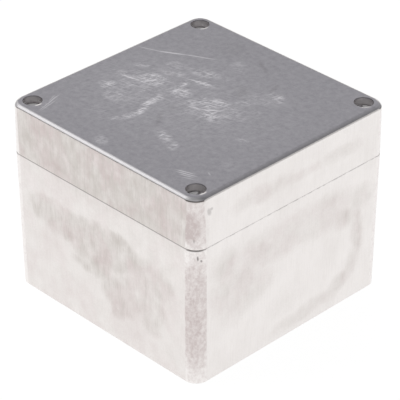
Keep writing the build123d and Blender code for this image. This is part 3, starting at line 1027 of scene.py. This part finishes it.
class BOX_OT_screws(bpy.types.Operator):
    """Makes the four captive lid screws and the earth screw"""

    bl_idname = "box.screws"
    bl_label = "Make the screws"

    def execute(self, context):
        screws = context.scene.box_screws
        steel = turned_steel_finish(screws)
        for prefix, thread_length, angles in (
            ("lid_screw_", screws.lid_thread_length, SLOT_ANGLES),
            ("earth_screw", screws.earth_thread_length, {"": EARTH_SLOT_ANGLE}),
        ):
            low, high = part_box(prefix + next(iter(angles)))
            neck_length = high.z - low.z - screws.head_height - thread_length
            model = slotted_screw(screws, (high.x - low.x) / 2, neck_length, thread_length)
            model.data.materials.append(steel)
            for name, turn in angles.items():
                body = "screw_" + name if name else "earth_screw"
                stand_for(model, prefix + name, body, turn)
            bpy.data.objects.remove(model)
        return {"FINISHED"}


class BOX_OT_earth(bpy.types.Operator):
    """Finishes the clamp and the spring washer of the earth terminal"""

    bl_idname = "box.earth"
    bl_label = "Finish the earth terminal"

    def execute(self, context):
        steel = pressed_steel_finish(context.scene.box_screws)
        dress("earth_clamp", steel)
        dress("earth_spring_washer", steel)
        return {"FINISHED"}


class BOX_OT_seal(bpy.types.Operator):
    """Gives the gasket and the screw retainers their finishes"""

    bl_idname = "box.seal"
    bl_label = "Finish the gasket and retainers"

    def execute(self, context):
        dress("lid_gasket", rubber_finish())
        nylon = nylon_finish()
        for name in SLOT_ANGLES:
            dress("screw_retainer_" + name, nylon)
        return {"FINISHED"}


def add_camera(stage):
    """The camera, at the photograph's place and turn."""
    turn, rise = stage.azimuth, stage.elevation
    back = Vector((math.sin(turn) * math.cos(rise), -math.cos(turn) * math.cos(rise),
                   math.sin(rise)))
    level_right = Vector((math.cos(turn), math.sin(turn), 0))
    level_up = back.cross(level_right)
    right = level_right * math.cos(stage.roll) + level_up * math.sin(stage.roll)
    up = level_up * math.cos(stage.roll) - level_right * math.sin(stage.roll)
    middle = (cad_box[0] + cad_box[1]) / 2
    where = middle + right * stage.aim_across + up * stage.aim_up + back * stage.distance
    camera = bpy.data.objects.new("camera", bpy.data.cameras.new("camera"))
    bpy.context.scene.collection.objects.link(camera)
    facing = Matrix((right, up, back)).transposed().to_4x4()
    camera.matrix_world = Matrix.Translation(where) @ facing
    camera.data.lens = stage.lens
    camera.data.clip_start = 0.05
    bpy.context.scene.camera = camera


def paper_finish(stage):
    """White seamless paper: seen as white, with the soft shadow of what stands on it."""
    material, tree = new_material("white_paper")
    rays = add_node(tree, "ShaderNodeLightPath").outputs
    seen = add_node(tree, "ShaderNodeMath", {0: rays["Is Camera Ray"], 1: rays["Is Glossy Ray"]},
                    operation="MAXIMUM")
    seen = add_node(tree, "ShaderNodeMath", {0: seen, 1: rays["Is Transmission Ray"]},
                    operation="MAXIMUM")
    share = add_node(tree, "ShaderNodeMath", {0: seen, 1: 1 - stage.shadow_share},
                     operation="MULTIPLY")
    paper = add_node(tree, "ShaderNodeBsdfDiffuse", {"Color": stage.floor_colour})
    level = add_node(tree, "ShaderNodeMix", {
        "Factor": rays["Is Camera Ray"], "A": stage.bounce_level, "B": stage.floor_level})
    white = add_node(tree, "ShaderNodeEmission", {"Color": (1, 1, 1, 1), "Strength": level})
    mix = add_node(tree, "ShaderNodeMixShader", {0: share, 1: paper, 2: white})
    add_node(tree, "ShaderNodeOutputMaterial", {"Surface": mix})
    return material


def add_floor(stage):
    """A wide round floor just under the box."""
    bpy.ops.object.select_all(action="DESELECT")
    bpy.ops.mesh.primitive_circle_add(vertices=96, radius=stage.floor_radius, fill_type="NGON",
                                      location=(0, 0, cad_box[0].z - FLOOR_GAP))
    floor = bpy.context.object
    floor.name = "floor"
    bpy.ops.object.transform_apply(location=True, rotation=True, scale=True)
    floor.data.materials.append(paper_finish(stage))


def add_window(stage):
    """A square soft light on the left, high enough for the lid's front rim to mirror it."""
    middle = (cad_box[0] + cad_box[1]) / 2
    towards = Vector(WINDOW_TOWARDS).normalized()
    data = bpy.data.lights.new("window", "AREA")
    data.shape = "SQUARE"
    data.size = stage.window_size
    data.energy = stage.window_level * math.pi * stage.window_size ** 2
    light = bpy.data.objects.new("window", data)
    bpy.context.scene.collection.objects.link(light)
    light.matrix_world = (Matrix.Translation(middle + towards * stage.window_distance)
                          @ towards.to_track_quat("Z", "Y").to_matrix().to_4x4())


def light_room():
    """A pale room, lighter on the left and behind the photograph's camera, seen as white.

    It is darker at the horizon and overhead."""
    world = bpy.data.worlds.new("room")
    bpy.context.scene.world = world
    world.use_nodes = True
    tree = world.node_tree
    tree.nodes.clear()
    direction = add_node(tree, "ShaderNodeTexCoord").outputs["Generated"]
    lean = add_node(tree, "ShaderNodeVectorMath", {0: direction, 1: LEFT_GLOW},
                    operation="DOT_PRODUCT")
    facing = add_node(tree, "ShaderNodeVectorMath", {0: direction, 1: CAMERA_GLOW},
                      operation="DOT_PRODUCT")
    facing = add_node(tree, "ShaderNodeMath", {0: facing.outputs["Value"], 1: CAMERA_GLOW_START},
                      operation="SUBTRACT")
    lean = add_node(tree, "ShaderNodeMath", {0: lean.outputs["Value"], 1: facing},
                    operation="MAXIMUM")
    height = add_node(tree, "ShaderNodeSeparateXYZ", {0: direction}).outputs["Z"]
    horizon = add_node(tree, "ShaderNodeMapRange", {
        "Value": height, "From Min": 0.05, "From Max": 0.45, "To Min": 0.75},
        interpolation_type="SMOOTHSTEP")
    overhead = add_node(tree, "ShaderNodeMapRange", {
        "Value": height, "From Min": 0.6, "From Max": 0.85, "To Min": 1.0, "To Max": 0.85},
        interpolation_type="SMOOTHSTEP")
    side = add_node(tree, "ShaderNodeMapRange", {
        "Value": height, "From Min": 0.05, "From Max": 0.45, "To Max": lean},
        interpolation_type="SMOOTHSTEP")
    level = add_node(tree, "ShaderNodeMath", {0: horizon, 1: ROOM_LEVEL, 2: side},
                     operation="MULTIPLY_ADD", use_clamp=True)
    level = add_node(tree, "ShaderNodeMath", {0: level, 1: overhead}, operation="MULTIPLY")
    camera_ray = add_node(tree, "ShaderNodeLightPath").outputs["Is Camera Ray"]
    strength = add_node(tree, "ShaderNodeMix", {"Factor": camera_ray, "A": level, "B": 1.0})
    background = add_node(tree, "ShaderNodeBackground", {
        "Color": (1, 1, 1, 1), "Strength": strength})
    add_node(tree, "ShaderNodeOutputWorld", {"Surface": background})


class BOX_OT_stage(bpy.types.Operator):
    """Sets up the floor, the lights and the camera"""

    bl_idname = "box.stage"
    bl_label = "Set the stage"

    def execute(self, context):
        stage = context.scene.box_stage
        add_floor(stage)
        light_room()
        add_window(stage)
        add_camera(stage)
        context.scene.view_settings.view_transform = "Standard"
        return {"FINISHED"}


class BOX_PT_panel(bpy.types.Panel):
    """Lists the steps that dress the box"""

    bl_idname = "BOX_PT_panel"
    bl_label = "Die cast box"
    bl_space_type = "VIEW_3D"
    bl_region_type = "UI"
    bl_category = "Box"

    def draw(self, context):
        column = self.layout.column()
        for operator in OPERATORS:
            column.operator(operator.bl_idname)
        for group in (context.scene.box_finish, context.scene.box_screws, context.scene.box_stage):
            for name in group.bl_rna.properties.keys():
                if name not in ("rna_type", "name"):
                    column.prop(group, name)


SETTINGS = {
    "box_finish": BoxFinishSettings,
    "box_screws": BoxScrewSettings,
    "box_stage": BoxStageSettings,
}
OPERATORS = (BOX_OT_castings, BOX_OT_screws, BOX_OT_earth, BOX_OT_seal, BOX_OT_stage)


def register():
    for settings in SETTINGS.values():
        bpy.utils.register_class(settings)
    for name, settings in SETTINGS.items():
        setattr(bpy.types.Scene, name, bpy.props.PointerProperty(type=settings))
    for operator in OPERATORS:
        bpy.utils.register_class(operator)
    bpy.utils.register_class(BOX_PT_panel)


def unregister():
    bpy.utils.unregister_class(BOX_PT_panel)
    for operator in reversed(OPERATORS):
        bpy.utils.unregister_class(operator)
    for name, settings in SETTINGS.items():
        delattr(bpy.types.Scene, name)
        bpy.utils.unregister_class(settings)


def main():
    register()
    bpy.ops.box.castings()
    bpy.ops.box.screws()
    bpy.ops.box.earth()
    bpy.ops.box.seal()
    bpy.ops.box.stage()


if __name__ == "__main__":
    main()
